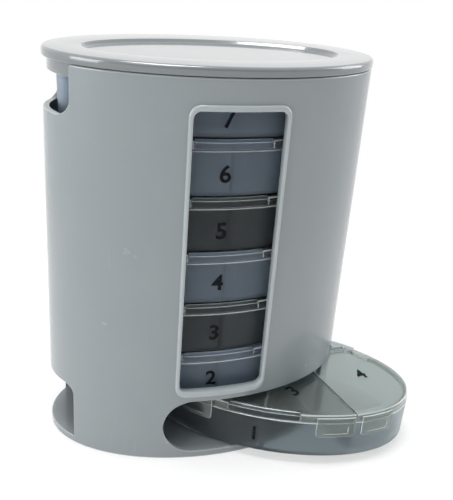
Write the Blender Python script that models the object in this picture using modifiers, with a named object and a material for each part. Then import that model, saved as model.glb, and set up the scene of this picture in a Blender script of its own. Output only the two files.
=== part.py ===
"""Weekly pill organizer: an oval tower with a lift-off cover and seven stacked trays.

Each tray has four compartments, and each compartment has its own hinged lid with a latch tab.
The bottom tray is half swung out of the slot that runs round the right-hand end of the casing.
Metres, +Z up. The front of the tower, with its window, faces -Y.
"""
import math

import bmesh
import bpy
from mathutils import Matrix, Vector

for left_over in list(bpy.data.objects):
    bpy.data.objects.remove(left_over)

mm = 0.001
weld = 0.001 * mm

# Running clearances
fit_gap = 0.3 * mm
stack_gap = 0.35 * mm
cut_overrun = 2.0 * mm

# Casing: an oval cup with a closed floor
casing_half_length = 59.0 * mm
casing_half_depth = 35.65 * mm
casing_wall = 2.2 * mm
casing_floor = 3.0 * mm
casing_edge = 0.6 * mm
casing_sides = 48
rim_above_stack = 0.6 * mm

# Rim of the casing, thinned inside to take the skirt of the cover
rim_wall = 1.1 * mm
rim_seat_depth = 4.6 * mm

# Window with its raised bezel
window_half_width = 15.8 * mm
window_above_slot = 3.45 * mm
window_below_rim = 10.3 * mm
window_corner = 2.6 * mm
bezel_width = 1.4 * mm
bezel_raise = 1.0 * mm

# Exit slot round the right-hand end, with a round end on the front and on the rear
slot_headroom = 2.55 * mm
slot_front_reach = 20.8 * mm
slot_rear_start = 15.0 * mm

# Finger hole and notch in the left-hand end
grip_half_width = 16.6 * mm
finger_hole_corner = 4.0 * mm
notch_depth = 16.7 * mm
notch_corner = 5.7 * mm

# Trays
tray_clearance = 2.2 * mm
tray_count = 7
tray_height = 19.8 * mm
tray_floor = 1.4 * mm
tray_foot_share = 0.993
tray_foot_round = 2.0 * mm
tray_sides = 36
body_inset = 0.15 * mm
wall_thickness = 1.1 * mm
divider_thickness = 1.3 * mm

# Lids and the fixed deck that they hinge on
lid_band = 3.4 * mm
lid_plate = 1.5 * mm
lid_skirt = 0.9 * mm
lid_edge = 0.6 * mm
lid_gap = 0.4 * mm
front_rim_width = 1.6 * mm
hinge_radius = 1.3 * mm
hinge_to_lid = 2.2 * mm
hinge_swing_gap = 0.7 * mm
hinge_arm = 1.0 * mm
swing_relief = 9.0 * mm
pin_radius = 0.6 * mm
pin_length = 1.5 * mm
pin_clearance = 0.2 * mm
hinge_sides = 6

# Latch tabs
tab_drop = 3.6 * mm
tab_thickness = 0.5 * mm
tab_top_step = 0.9 * mm
tab_root_step = 0.3 * mm
tab_root_inset_share = 0.008
tab_steps = 2

# Places on the tray, as shares of its half length and half depth
divider_front_share = 0.642
divider_rear_share = 0.694
front_rim_share = 0.249
noon_hinge_place_shares = (0.092, 0.24)
morning_hinge_place_shares = (0.403, 0.707)
noon_hinge_half_length = 2.4 * mm
morning_hinge_half_length = 5.5 * mm
morning_hinge_turn = math.radians(26.0)
noon_tab_shares = (0.365, 0.625)
morning_tab_shares = (0.672, 0.875)

# Cover
cover_overhang = 0.3 * mm
cover_seat_gap = 0.25 * mm
cover_height = 3.2 * mm
cover_edge = 1.1 * mm
cover_plate = 1.4 * mm
cover_recess_margin = 12.6 * mm
cover_recess_depth = 1.2 * mm
cover_recess_taper = 0.965
skirt_thickness = 1.5 * mm
skirt_edge = 0.5 * mm

# Where the bottom tray stands, half swung out of the slot
drawn_tray_place = (30.0 * mm, -14.1 * mm)
drawn_tray_turn = math.radians(-27.7)

# Sizes that follow
tray_pitch = tray_height + stack_gap
first_tray_base = casing_floor + fit_gap
stack_top = first_tray_base + tray_count * tray_pitch - stack_gap
casing_height = stack_top + rim_above_stack
slot_top = first_tray_base + tray_height + slot_headroom
window_bottom = slot_top + window_above_slot
window_top = casing_height - window_below_rim
tray_half_length = casing_half_length - casing_wall - tray_clearance
tray_half_depth = casing_half_depth - casing_wall - tray_clearance
band_base = tray_height - lid_band
shoulder = band_base - fit_gap
wall_inset = lid_skirt + fit_gap
wall_top = tray_height - lid_plate - fit_gap
pocket_inset = wall_inset + wall_thickness
hinge_height = tray_height - hinge_radius
deck_edge = hinge_to_lid - hinge_swing_gap


def new_collection(name):
    """A collection linked to the scene."""
    made = bpy.data.collections.new(name)
    bpy.context.scene.collection.children.link(made)
    return made


organizer = new_collection("weekly_pill_organizer")
cutters = new_collection("cutters")
cutters.hide_render = True


def material(name, colour, roughness):
    """A plain Principled plastic."""
    made = bpy.data.materials.new(name)
    made.use_nodes = True
    shader = made.node_tree.nodes["Principled BSDF"]
    shader.inputs["Base Color"].default_value = (*colour, 1.0)
    shader.inputs["Roughness"].default_value = roughness
    shader.inputs["Metallic"].default_value = 0.0
    made.diffuse_color = (*colour, 1.0)
    return made


def block(name, shape, matrix=None):
    """An object in the cutters collection from a finished bmesh."""
    if matrix:
        bmesh.ops.transform(shape, matrix=matrix, verts=shape.verts)
    bmesh.ops.recalc_face_normals(shape, faces=shape.faces)
    mesh = bpy.data.meshes.new(name)
    shape.to_mesh(mesh)
    shape.free()
    return helper(name, mesh)


def helper(name, data):
    """An object in the cutters collection, drawn as wire and left out of renders."""
    made = bpy.data.objects.new(name, data)
    cutters.objects.link(made)
    made.hide_render = True
    made.display_type = "WIRE"
    return made


def evaluated_mesh(source):
    """The source's mesh with its modifiers or its curve's fill."""
    bpy.context.view_layer.update()
    graph = bpy.context.evaluated_depsgraph_get()
    return bpy.data.meshes.new_from_object(source.evaluated_get(graph))


def set_ends(shape, low, high):
    """Puts the two ends of an upright block at their exact heights, so that flush faces meet."""
    for corner in shape.verts:
        corner.co.z = high if corner.co.z > 0 else low


def bevel_rim(shape, height, width, segments):
    """Rounds the edges that lie flat at one height."""
    rim = [edge for edge in shape.edges if all(abs(corner.co.z - height) < weld for corner in edge.verts)]
    bmesh.ops.bevel(shape, geom=rim, offset=width, segments=segments, profile=0.5, affect="EDGES")


def oval_block(name, size, low, high, sides, rims=(), foot_share=1.0):
    """An upright oval cylinder. Each rim is a height with the width and segments of its bevel."""
    half_length, half_depth = size
    shape = bmesh.new()
    bmesh.ops.create_cone(shape, cap_ends=True, segments=sides, radius1=foot_share, radius2=1.0,
                          depth=high - low)
    bmesh.ops.scale(shape, vec=(half_length, half_depth, 1), verts=shape.verts)
    set_ends(shape, low, high)
    for height, width, segments in rims:
        bevel_rim(shape, height, width, segments)
    return block(name, shape)


def outline_block(name, outline, low, high, matrix=None):
    """A flat outline in X and Y, extruded from one height to another."""
    curve = bpy.data.curves.new(name, "CURVE")
    curve.dimensions = "2D"
    curve.fill_mode = "BOTH"
    curve.extrude = (high - low) / 2
    spline = curve.splines.new("POLY")
    spline.points.add(len(outline) - 1)
    for point, (x, y) in zip(spline.points, outline):
        point.co = (x, y, 0, 1)
    spline.use_cyclic_u = True
    guide = helper(name, curve)
    mesh = evaluated_mesh(guide)
    bpy.data.objects.remove(guide)
    shape = bmesh.new()
    shape.from_mesh(mesh)
    bmesh.ops.remove_doubles(shape, verts=shape.verts, dist=weld)
    set_ends(shape, low, high)
    return block(name, shape, matrix)


def front_block(name, outline, near, far):
    """An outline in X and Z, extruded along Y."""
    stood_up = Matrix(((1, 0, 0, 0), (0, 0, -1, 0), (0, 1, 0, 0), (0, 0, 0, 1)))
    return outline_block(name, outline, -far, -near, stood_up)


def end_block(name, outline, left, right):
    """An outline in Y and Z, extruded along X."""
    turned_on_end = Matrix(((0, 0, 1, 0), (1, 0, 0, 0), (0, 1, 0, 0), (0, 0, 0, 1)))
    return outline_block(name, outline, left, right, turned_on_end)


def casing_oval(inset):
    return casing_half_length - inset, casing_half_depth - inset


def tray_oval(inset):
    return tray_half_length - inset, tray_half_depth - inset


def tray_outline(inset):
    """The tray's oval as points, counter-clockwise."""
    half_length, half_depth = tray_oval(inset)
    angles = [math.tau * index / tray_sides for index in range(tray_sides)]
    return [(half_length * math.cos(angle), half_depth * math.sin(angle)) for angle in angles]


def clip(outline, place, direction):
    """The part of a convex outline that lies beyond place, going in direction."""
    kept = []
    for index, (x, y) in enumerate(outline):
        before_x, before_y = outline[index - 1]
        here = (x - place[0]) * direction[0] + (y - place[1]) * direction[1]
        before = (before_x - place[0]) * direction[0] + (before_y - place[1]) * direction[1]
        if here * before < 0:
            share = before / (before - here)
            kept.append((before_x + (x - before_x) * share, before_y + (y - before_y) * share))
        if here >= 0:
            kept.append((x, y))
    return kept


def rounded(low_u, high_u, low_v, high_v, corners, steps=6):
    """A rectangle with a radius for each corner, from the low one, counter-clockwise."""
    centres = [
        (low_u + corners[0], low_v + corners[0]),
        (high_u - corners[1], low_v + corners[1]),
        (high_u - corners[2], high_v - corners[2]),
        (low_u + corners[3], high_v - corners[3]),
    ]
    outline = []
    for quarter, (u, v) in enumerate(centres):
        radius = corners[quarter]
        for step in range(steps + 1 if radius > 0 else 1):
            angle = math.pi + math.pi / 2 * (quarter + step / steps)
            outline.append((u + radius * math.cos(angle), v + radius * math.sin(angle)))
    return outline


def combined(name, target, others, operation):
    """The target joined with, cut by or kept inside each of the others, as a new helper."""
    for other in others:
        change = target.modifiers.new(other.name, "BOOLEAN")
        change.operation = operation
        change.solver = "EXACT"
        change.object = other
    mesh = evaluated_mesh(target)
    mesh.name = name
    target.modifiers.clear()
    return helper(name, mesh)


def node(name, mesh, finish, parent=None, place=(0, 0, 0)):
    """A finished piece, smooth round its curves and sharp at its edges."""
    piece = mesh.copy()
    piece.name = name
    piece.materials.clear()
    piece.materials.append(finish)
    piece.shade_smooth()
    piece.set_sharp_from_angle(angle=math.radians(35))
    made = bpy.data.objects.new(name, piece)
    organizer.objects.link(made)
    made.parent = parent
    made.location = place
    return made


def empty(name, place, turn=0.0, parent=None):
    """A carrier on a joint's axis."""
    made = bpy.data.objects.new(name, None)
    organizer.objects.link(made)
    made.empty_display_size = hinge_radius
    made.parent = parent
    made.location = place
    made.rotation_euler = (0, 0, turn)
    return made


def make_casing():
    """The tower's shell: floor, wall, raised bezel, rim seat, window, slot, finger hole and notch."""
    shell = oval_block("casing_outside", casing_oval(0), 0, casing_height, casing_sides,
                       [(0, casing_edge, 1), (casing_height, casing_edge / 2, 1)])
    hood = oval_block("bezel_skin", casing_oval(-bezel_raise), window_bottom - casing_wall - bezel_width,
                      window_top + casing_wall + bezel_width, casing_sides)
    front = casing_half_depth + bezel_raise + cut_overrun
    frame = front_block("bezel_outline", rounded(
        -window_half_width - bezel_width, window_half_width + bezel_width,
        window_bottom - bezel_width, window_top + bezel_width,
        [window_corner + bezel_width] * 4), -front, -casing_half_depth / 2)
    bezel = combined("bezel", hood, [frame], "INTERSECT")
    body = combined("casing_with_bezel", shell, [bezel], "UNION")

    above = casing_height + cut_overrun
    bore = oval_block("casing_bore", casing_oval(casing_wall), casing_floor, above, casing_sides)
    seat = oval_block("rim_seat", casing_oval(rim_wall), casing_height - rim_seat_depth, above, casing_sides)
    window = front_block("window", rounded(
        -window_half_width, window_half_width, window_bottom, window_top,
        [window_corner] * 4), -front, 0)
    slot_radius = (slot_top - casing_floor) / 2
    beyond = casing_half_length + cut_overrun
    slot_front = front_block("slot_front", rounded(
        -slot_front_reach, beyond, casing_floor, slot_top,
        [slot_radius, 0, 0, slot_radius]), -front, 0)
    slot_rear = front_block("slot_rear", rounded(
        slot_rear_start, beyond, casing_floor, slot_top,
        [slot_radius, 0, 0, slot_radius]), 0, front)
    finger_hole = end_block("finger_hole", rounded(
        -grip_half_width, grip_half_width, casing_floor, slot_top,
        [0, 0, finger_hole_corner, finger_hole_corner]), -beyond, -casing_half_length / 2)
    notch = end_block("notch", rounded(
        -grip_half_width, grip_half_width, casing_height - notch_depth, above,
        [notch_corner, notch_corner, 0, 0]), -beyond, -casing_half_length / 2)
    return combined("casing_solid", body, [bore, seat, window, slot_front, slot_rear, finger_hole, notch],
                    "DIFFERENCE").data


def make_cover():
    """The lift-off cover: a round-edged plate with an oval recess, and a skirt that fits the rim seat."""
    base = casing_height + cover_seat_gap
    top = base + cover_height
    plate = oval_block("cover_plate", casing_oval(-cover_overhang), base, top, casing_sides,
                       [(top, cover_edge, 2)])
    skirt_inset = rim_wall + fit_gap
    skirt_base = casing_height - rim_seat_depth + fit_gap
    skirt = oval_block("cover_skirt", casing_oval(skirt_inset), skirt_base, base + cover_plate / 2,
                       casing_sides, [(skirt_base, skirt_edge, 1)])
    solid = combined("cover_with_skirt", plate, [skirt], "UNION")
    hollow = oval_block("cover_hollow", casing_oval(skirt_inset + skirt_thickness), skirt_base - cut_overrun,
                        top - cover_recess_depth - cover_plate, casing_sides)
    recess = oval_block("cover_recess", casing_oval(cover_recess_margin), top - cover_recess_depth,
                        top + cover_recess_depth, casing_sides, foot_share=cover_recess_taper)
    return combined("cover_solid", solid, [hollow, recess], "DIFFERENCE").data


def hinge_at(side, shares, turn, half_length, tab):
    """One compartment's hinge: its lid lies towards -Y in the hinge's own frame."""
    place = Vector((side * tray_half_length * shares[0], tray_half_depth * shares[1]))
    turned = side * turn
    return {
        "frame": Matrix.Translation((*place, hinge_height)) @ Matrix.Rotation(turned, 4, "Z"),
        "place": place,
        "along": Vector((math.cos(turned), math.sin(turned))),
        "into_lid": Vector((math.sin(turned), -math.cos(turned))),
        "half_length": half_length,
        "tab": tab,
    }


def hinges(side):
    """The noon or evening hinge and the morning or bedtime hinge of one side, side 1 being the right."""
    noon = hinge_at(side, noon_hinge_place_shares, 0.0, noon_hinge_half_length, noon_tab_shares)
    morning = hinge_at(side, morning_hinge_place_shares, morning_hinge_turn, morning_hinge_half_length,
                       morning_tab_shares)
    return noon, morning


def divider(side):
    """The slanting divider's rear end, and its normal towards the outer compartment."""
    front_x = tray_half_length * divider_front_share
    front = Vector((side * front_x, -tray_half_depth * math.sqrt(1 - divider_front_share ** 2)))
    rear = Vector((0, tray_half_depth * divider_rear_share))
    along = (rear - front).normalized()
    return rear, Vector((side * along.y, -side * along.x))


def compartment(outline, side, outer, spine_gap, divider_gap):
    """The outline's part over one compartment: the outer one beyond the divider, or the front one."""
    rear, outward = divider(side)
    part = clip(outline, (side * spine_gap, 0), (side, 0))
    direction = outward if outer else -outward
    return clip(part, rear + direction * divider_gap, direction)


def hinge_block(name, hinge, start, end, near, far, low, high):
    """A box in a hinge's frame: start to end along its axis, near to far towards the lid, low to high."""
    shape = bmesh.new()
    bmesh.ops.create_cube(shape, size=1.0)
    bmesh.ops.scale(shape, vec=(abs(end - start), far - near, high - low), verts=shape.verts)
    centre = ((start + end) / 2, -(near + far) / 2, (low + high) / 2)
    bmesh.ops.translate(shape, vec=centre, verts=shape.verts)
    return block(name, shape, hinge["frame"])


def rim_band(name, side, shares, near, far, low, high, steps):
    """A length of the tray's front rim, between two shares of its half length and two insets."""
    angles = [-math.acos(share) for share in shares]
    outline = []
    for inset, order in ((near, range(steps + 1)), (far, range(steps, -1, -1))):
        half_length, half_depth = tray_oval(inset)
        for step in order:
            angle = angles[0] + (angles[1] - angles[0]) * step / steps
            outline.append((side * half_length * math.cos(angle), half_depth * math.sin(angle)))
    return outline_block(name, outline, low, high)


def deck_outline():
    """The fixed rear deck: it ends at the four hinges, and along the dividers between them."""
    outline = tray_outline(0)
    corners = []
    for side in (-1, 1):
        rear, outward = divider(side)
        noon, morning = hinges(side)
        slanting = morning["place"] + morning["into_lid"] * deck_edge
        outline = clip(outline, slanting, -morning["into_lid"])
        beside = rear - outward * lid_gap / 2
        front = noon["place"] + noon["into_lid"] * deck_edge
        inner = [
            meeting(slanting, morning["along"], beside, outward),
            meeting(front, noon["along"], beside, outward),
        ]
        corners += inner if side < 0 else inner[::-1]
    lowest = outline.index(min(outline, key=lambda point: point[1]))
    return outline[:lowest] + corners + outline[lowest + 1:]


def meeting(place, along, other_place, other_normal):
    """Where a line meets another, which is given by a place on it and its normal."""
    share = (other_place - place).dot(other_normal) / along.dot(other_normal)
    point = place + along * share
    return point.x, point.y


def make_tray():
    """A tray body: four pockets, a fixed front rim, and a rear deck with the seats of the four hinges."""
    bowl = oval_block("tray_bowl", tray_oval(body_inset), 0, shoulder, tray_sides,
                      [(0, tray_foot_round, 1)], tray_foot_share)
    spigot = oval_block("tray_spigot", tray_oval(wall_inset), shoulder - tray_floor, wall_top, tray_sides)
    body = combined("tray_outside", bowl, [spigot], "UNION")
    pockets = []
    for side in (-1, 1):
        for outer in (False, True):
            outline = compartment(tray_outline(pocket_inset), side, outer,
                                  divider_thickness / 2, divider_thickness / 2)
            pockets.append(outline_block("pocket", outline, tray_floor, tray_height))
    body = combined("tray_with_pockets", body, pockets, "DIFFERENCE")
    deck = outline_block("deck", deck_outline(), band_base, tray_height)
    rim = rim_band("front_rim", 1, (front_rim_share, -front_rim_share), 0, front_rim_width,
                   band_base, tray_height, tab_steps * 2)
    body = combined("tray_with_deck", body, [deck, rim], "UNION")

    seats = []
    above = hinge_radius + cut_overrun
    pin_room = pin_radius + pin_clearance
    barrel_room = hinge_radius + fit_gap
    for side in (-1, 1):
        noon, morning = hinges(side)
        for hinge in (noon, morning):
            half = hinge["half_length"] + fit_gap
            pin_end = half + pin_length
            seats.append(hinge_block("barrel_seat", hinge, -half, half, -barrel_room, hinge_to_lid,
                                     -barrel_room, above))
            seats.append(hinge_block("pin_seat", hinge, -pin_end, pin_end, -pin_room, pin_room,
                                     -pin_room, above))
        seats.append(hinge_block("swing_relief", morning, side * morning_hinge_half_length,
                                 side * tray_half_length, (deck_edge + hinge_to_lid) / 2, swing_relief,
                                 shoulder + fit_gap / 2 - hinge_height, above))
    return combined("tray_solid", body, seats, "DIFFERENCE").data


def barrel(name, hinge):
    """A lid's hinge barrel with its two pins, turned about the hinge axis."""
    half = hinge["half_length"]
    tip = half + pin_length - fit_gap
    profile = [(0, tip), (pin_radius, tip), (pin_radius, half), (hinge_radius, half),
               (hinge_radius, -half), (pin_radius, -half), (pin_radius, -tip), (0, -tip)]
    mesh = bpy.data.meshes.new(name)
    mesh.from_pydata([(radius, 0, along) for radius, along in profile],
                     [(index, index + 1) for index in range(len(profile) - 1)], [])
    made = helper(name, mesh)
    turning = made.modifiers.new("turning", "SCREW")
    turning.steps = hinge_sides
    turning.render_steps = hinge_sides
    turning.use_merge_vertices = True
    turning.merge_threshold = weld
    shape = bmesh.new()
    shape.from_mesh(evaluated_mesh(made))
    bpy.data.objects.remove(made)
    return block(name, shape, hinge["frame"] @ Matrix.Rotation(math.pi / 2, 4, "Y"))


def make_lid(side, outer):
    """One compartment's lid: plate, skirt, hinge barrel and latch tab, with its origin on the hinge axis."""
    hinge = hinges(side)[outer]
    cap = oval_block("lid_cap", tray_oval(0), band_base, tray_height, tray_sides,
                     [(tray_height, lid_edge, 1)])
    under = oval_block("lid_hollow", tray_oval(lid_skirt), band_base - cut_overrun, tray_height - lid_plate,
                       tray_sides)
    cap = combined("lid_shell", cap, [under], "DIFFERENCE")

    sector = compartment(tray_outline(-cut_overrun), side, outer, lid_gap / 2, lid_gap / 2)
    edge = hinge["place"] + hinge["into_lid"] * hinge_to_lid
    sector = clip(sector, edge, hinge["into_lid"])
    region = outline_block("lid_region", sector, band_base - cut_overrun, tray_height + cut_overrun)
    lid = combined("lid_plate", cap, [region], "INTERSECT")
    if not outer:
        reach = front_rim_share + fit_gap / tray_half_length
        rim_room = rim_band("rim_room", 1, (reach, -reach), -cut_overrun, front_rim_width + fit_gap,
                            band_base - cut_overrun, tray_height + cut_overrun, tab_steps * 2)
        lid = combined("lid_behind_rim", lid, [rim_room], "DIFFERENCE")

    half = hinge["half_length"] - pin_clearance
    plate_middle = hinge_radius - lid_plate / 2
    arm = hinge_block("lid_arm", hinge, -half, half, 0, hinge_to_lid + lid_skirt,
                      plate_middle - hinge_arm / 2, plate_middle + hinge_arm / 2)
    tab_near = body_inset - fit_gap
    tab_top = tray_height - tab_top_step
    tab = rim_band("lid_tab", side, hinge["tab"], tab_near, tab_near - tab_thickness,
                   band_base - tab_drop, tab_top, tab_steps)
    start, end = hinge["tab"]
    root = rim_band("tab_root", side, (start + tab_root_inset_share, end - tab_root_inset_share),
                    lid_skirt / 2, tab_near - tab_thickness / 2, band_base, tab_top - tab_root_step,
                    tab_steps)
    lid = combined("lid_with_tab", lid, [arm, tab, root, barrel("lid_barrel", hinge)], "UNION")
    place = hinge["frame"].translation
    lid.data.transform(Matrix.Translation(-place))
    return lid.data, place


def swing_axis():
    """The upright axis about which the drawn tray swings back over the casing's floor."""
    turn = Matrix.Rotation(drawn_tray_turn, 2)
    offset = Vector(drawn_tray_place)
    return (Matrix.Identity(2) - turn).inverted() @ offset


pale = material("casing_blue_grey", (0.31, 0.34, 0.35), 0.25)
pearl = material("cover_pale_grey", (0.36, 0.39, 0.40), 0.3)
clear = material("tray_clear", (0.62, 0.68, 0.74), 0.15)
smoke = material("tray_smoke", (0.20, 0.27, 0.28), 0.15)

days_from_bottom = (
    ("mon", smoke), ("tue", clear), ("wed", smoke), ("thu", clear),
    ("fri", smoke), ("sat", clear), ("sun", clear),
)

node("casing", make_casing(), pale)
node("tower_cover", make_cover(), pearl, empty("cover_lift_axis", (0, 0, casing_height)),
     (0, 0, -casing_height))

tray_mesh = make_tray()
lids = {
    "morning": make_lid(-1, True),
    "noon": make_lid(-1, False),
    "evening": make_lid(1, False),
    "bedtime": make_lid(1, True),
}

for level, (day, finish) in enumerate(days_from_bottom):
    base = first_tray_base + level * tray_pitch
    if level == 0:
        axis = swing_axis()
        swing = empty("mon_swing_axis", (axis.x, axis.y, base))
        offset = Vector(drawn_tray_place) - axis
        carrier = empty("mon_tray_place", (offset.x, offset.y, 0), drawn_tray_turn, swing)
    else:
        carrier = empty(day + "_lift_axis", (0, 0, base))
    node(day + "_tray", tray_mesh, finish, carrier)
    for dose, (lid_mesh, place) in lids.items():
        node(day + "_" + dose + "_lid", lid_mesh, finish, carrier, place)
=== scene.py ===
import math

import bmesh
import bpy
from mathutils import Matrix, Vector


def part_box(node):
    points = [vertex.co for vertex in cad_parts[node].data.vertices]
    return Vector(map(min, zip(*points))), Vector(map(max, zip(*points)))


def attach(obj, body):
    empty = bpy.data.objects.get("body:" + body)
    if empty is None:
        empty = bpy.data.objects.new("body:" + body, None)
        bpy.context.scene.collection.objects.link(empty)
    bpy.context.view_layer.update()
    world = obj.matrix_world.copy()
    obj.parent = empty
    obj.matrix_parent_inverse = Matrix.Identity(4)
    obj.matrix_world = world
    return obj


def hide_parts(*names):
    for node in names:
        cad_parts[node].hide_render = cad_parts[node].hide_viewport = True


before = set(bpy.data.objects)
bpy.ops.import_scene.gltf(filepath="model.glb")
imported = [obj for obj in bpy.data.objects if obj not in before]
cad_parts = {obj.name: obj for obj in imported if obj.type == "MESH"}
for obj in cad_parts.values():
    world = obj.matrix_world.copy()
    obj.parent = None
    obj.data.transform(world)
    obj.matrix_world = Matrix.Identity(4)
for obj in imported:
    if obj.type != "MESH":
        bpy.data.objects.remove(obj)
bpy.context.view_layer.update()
mm = 0.001
hair = 0.001 * mm  # closer points than this are one point
cornerShare = 0.49  # the most of an edge that one rounded corner uses up
squareFold = 60.0  # edges that fold by more degrees than this count as square

# The overall sizes come from the frame
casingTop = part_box("casing")[1]
halfLength = casingTop.x
halfDepth = casingTop.y
rimHeight = casingTop.z
coverLow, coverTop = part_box("tower_cover")
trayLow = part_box("tue_tray")[0].z
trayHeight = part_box("tue_tray")[1].z - trayLow
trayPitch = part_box("wed_tray")[0].z - trayLow

daysFromBottom = ["mon", "tue", "wed", "thu", "fri", "sat", "sun"]
smokyDays = ["mon", "wed", "fri"]
doses = {
    "morning": {"side": -1, "outer": True, "digit": "1"},
    "noon": {"side": -1, "outer": False, "digit": "2"},
    "evening": {"side": 1, "outer": False, "digit": "3"},
    "bedtime": {"side": 1, "outer": True, "digit": "4"},
}


# Shapes that every piece uses

def helper(name, data):
    made = bpy.data.objects.new(name, data)
    bpy.context.scene.collection.objects.link(made)
    return made


def freshMesh(source):
    bpy.context.view_layer.update()
    graph = bpy.context.evaluated_depsgraph_get()
    return bpy.data.meshes.new_from_object(source.evaluated_get(graph))


def opened(mesh):
    shape = bmesh.new()
    shape.from_mesh(mesh)
    return shape


def closed(shape, mesh):
    shape.to_mesh(mesh)
    shape.free()
    return mesh


def fromShape(name, shape, matrix=None):
    if matrix:
        bmesh.ops.transform(shape, matrix=matrix, verts=shape.verts)
    bmesh.ops.recalc_face_normals(shape, faces=shape.faces)
    return helper(name, closed(shape, bpy.data.meshes.new(name)))


def isRidge(edge, fold):
    return edge.is_manifold and edge.is_convex and edge.calc_face_angle() > math.radians(fold)


def turnedCorner(before, corner, after, radius, steps):
    # points of the arc that rounds one corner of an outline or profile
    corner = Vector(corner)
    back = Vector(before) - corner
    ahead = Vector(after) - corner
    turn = math.pi - back.angle(ahead)
    reach = min(radius * math.tan(turn / 2), back.length * cornerShare, ahead.length * cornerShare)
    inward = (back.normalized() + ahead.normalized()).normalized()
    centre = corner + inward * (reach / math.sin(turn / 2))
    first = corner + back.normalized() * reach - centre
    last = corner + ahead.normalized() * reach - centre
    points = []
    for step in range(steps + 1):
        share = step / steps
        spoke = first * math.sin((1 - share) * turn) + last * math.sin(share * turn)
        points.append(tuple(centre + spoke / math.sin(turn)))
    return points


def roundedProfile(corners, steps=4):
    # an open profile of (inset, height, radius) with its corners rounded
    points = [corners[0][:2]]
    for index in range(1, len(corners) - 1):
        before, corner, after = corners[index - 1], corners[index], corners[index + 1]
        if corner[2] > 0:
            points += turnedCorner(before[:2], corner[:2], after[:2], corner[2], steps)
        else:
            points.append(corner[:2])
    points.append(corners[-1][:2])
    return points


def roundedOutline(outline, radius, steps=4, sharpest=20.0):
    # a closed outline whose sharp corners are rounded, and whose curved stretches stay as they are
    points = []
    for index, corner in enumerate(outline):
        before = outline[index - 1]
        after = outline[(index + 1) % len(outline)]
        back = Vector(before) - Vector(corner)
        ahead = Vector(after) - Vector(corner)
        if math.pi - back.angle(ahead) > math.radians(sharpest):
            points += turnedCorner(before, corner, after, radius, steps)
        else:
            points.append(corner)
    return points


def ovalTurn(name, size, profile, segments):
    # a closed oval shape through a profile of (inset, height), capped flat at both ends
    shape = bmesh.new()
    rings = []
    for inset, height in profile:
        ring = []
        for index in range(segments):
            angle = math.tau * index / segments
            ring.append(shape.verts.new((
                (size[0] - inset) * math.cos(angle), (size[1] - inset) * math.sin(angle), height)))
        rings.append(ring)
    for lower, upper in zip(rings, rings[1:]):
        for index in range(segments):
            after = (index + 1) % segments
            shape.faces.new((lower[index], lower[after], upper[after], upper[index]))
    shape.faces.new(rings[0])
    shape.faces.new(rings[-1])
    return fromShape(name, shape)


def prism(name, outline, low, high, matrix=None, footRound=0.0):
    # an outline in X and Y between two heights, with its lower rim rounded where asked
    shape = bmesh.new()
    base = shape.faces.new([shape.verts.new((x, y, low)) for x, y in outline])
    grown = bmesh.ops.extrude_face_region(shape, geom=[base])
    for item in grown["geom"]:
        if isinstance(item, bmesh.types.BMVert):
            item.co.z = high
    if footRound:
        rim = [edge for edge in shape.edges if all(abs(end.co.z - low) < hair for end in edge.verts)]
        bmesh.ops.bevel(shape, geom=rim, offset=footRound, segments=3, profile=0.5, affect="EDGES",
                        clamp_overlap=True)
    return fromShape(name, shape, matrix)


# These stand an outline up: its height then points to the front, or to the right
standUp = Matrix(((1, 0, 0, 0), (0, 0, -1, 0), (0, 1, 0, 0), (0, 0, 0, 1)))
faceEnd = Matrix(((0, 0, 1, 0), (1, 0, 0, 0), (0, 1, 0, 0), (0, 0, 0, 1)))


def sliced(shape, places):
    # cuts a flat piece across X, so that it can be bent
    for place in places:
        bmesh.ops.bisect_plane(
            shape, geom=shape.verts[:] + shape.edges[:] + shape.faces[:],
            plane_co=(place, 0, 0), plane_no=(1, 0, 0))


def inOrder(mesh):
    # a boolean's points come in another order each time, which later steps would show
    across = Vector((1.0, 0.7310585, 0.4171203))
    shape = opened(mesh)
    shape.verts.sort(key=lambda vert: vert.co.dot(across))
    shape.edges.sort(key=lambda edge: (edge.verts[0].co + edge.verts[1].co).dot(across))
    shape.faces.sort(key=lambda face: face.calc_center_median().dot(across))
    for parts in (shape.verts, shape.edges, shape.faces):
        parts.index_update()
    return closed(shape, mesh)


def combine(target, others, operation):
    # the target joined with, cut by or kept inside the others, which are used up
    for other in others:
        change = target.modifiers.new(other.name, "BOOLEAN")
        change.operation = operation
        change.solver = "EXACT"
        change.object = other
    mesh = inOrder(freshMesh(target))
    name = target.name
    for used in [target] + others:
        bpy.data.objects.remove(used)
    return helper(name, mesh)


def softened(target, width, highlightsAbove=-1.0, angle=50.0, segments=2, mergeShare=0.2):
    # rounds the cut edges a little, as a mould does, and evens the shading; the rounded edges above the given
    # height get the paler plastic, a painted highlight
    shape = opened(target.data)
    bmesh.ops.remove_doubles(shape, verts=shape.verts, dist=width * mergeShare)
    closed(shape, target.data)
    bevel = target.modifiers.new("edges", "BEVEL")
    bevel.width = width
    bevel.segments = segments
    bevel.limit_method = "ANGLE"
    bevel.angle_limit = math.radians(angle)
    bevel.use_clamp_overlap = False
    mesh = freshMesh(target)
    bpy.data.objects.remove(target)
    return edgesMarked(evened(helper("softened", mesh)), highlightsAbove)


def evened(target, sharpAngle=None):
    # smooth shading, weighted by the size of the faces
    target.data.shade_smooth()
    if sharpAngle:
        target.data.set_sharp_from_angle(angle=math.radians(sharpAngle))
    evening = target.modifiers.new("shading", "WEIGHTED_NORMAL")
    evening.keep_sharp = True
    mesh = freshMesh(target)
    bpy.data.objects.remove(target)
    return mesh


def edgesMarked(mesh, above, widest=0.4 * mm, fold=8.0, foldedShare=0.35):
    # gives the narrow strips of rounded edges the second material, a paler plastic whose colour is a painted
    # highlight
    shape = opened(mesh)
    for face in shape.faces:
        width = face.calc_area() / max(edge.calc_length() for edge in face.edges)
        folded = sum(edge.calc_length() for edge in face.edges if isRidge(edge, fold))
        narrow = width < widest and folded > face.calc_perimeter() * foldedShare
        face.material_index = 1 if narrow and face.calc_center_median().z > above else 0
    return closed(shape, mesh)


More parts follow.
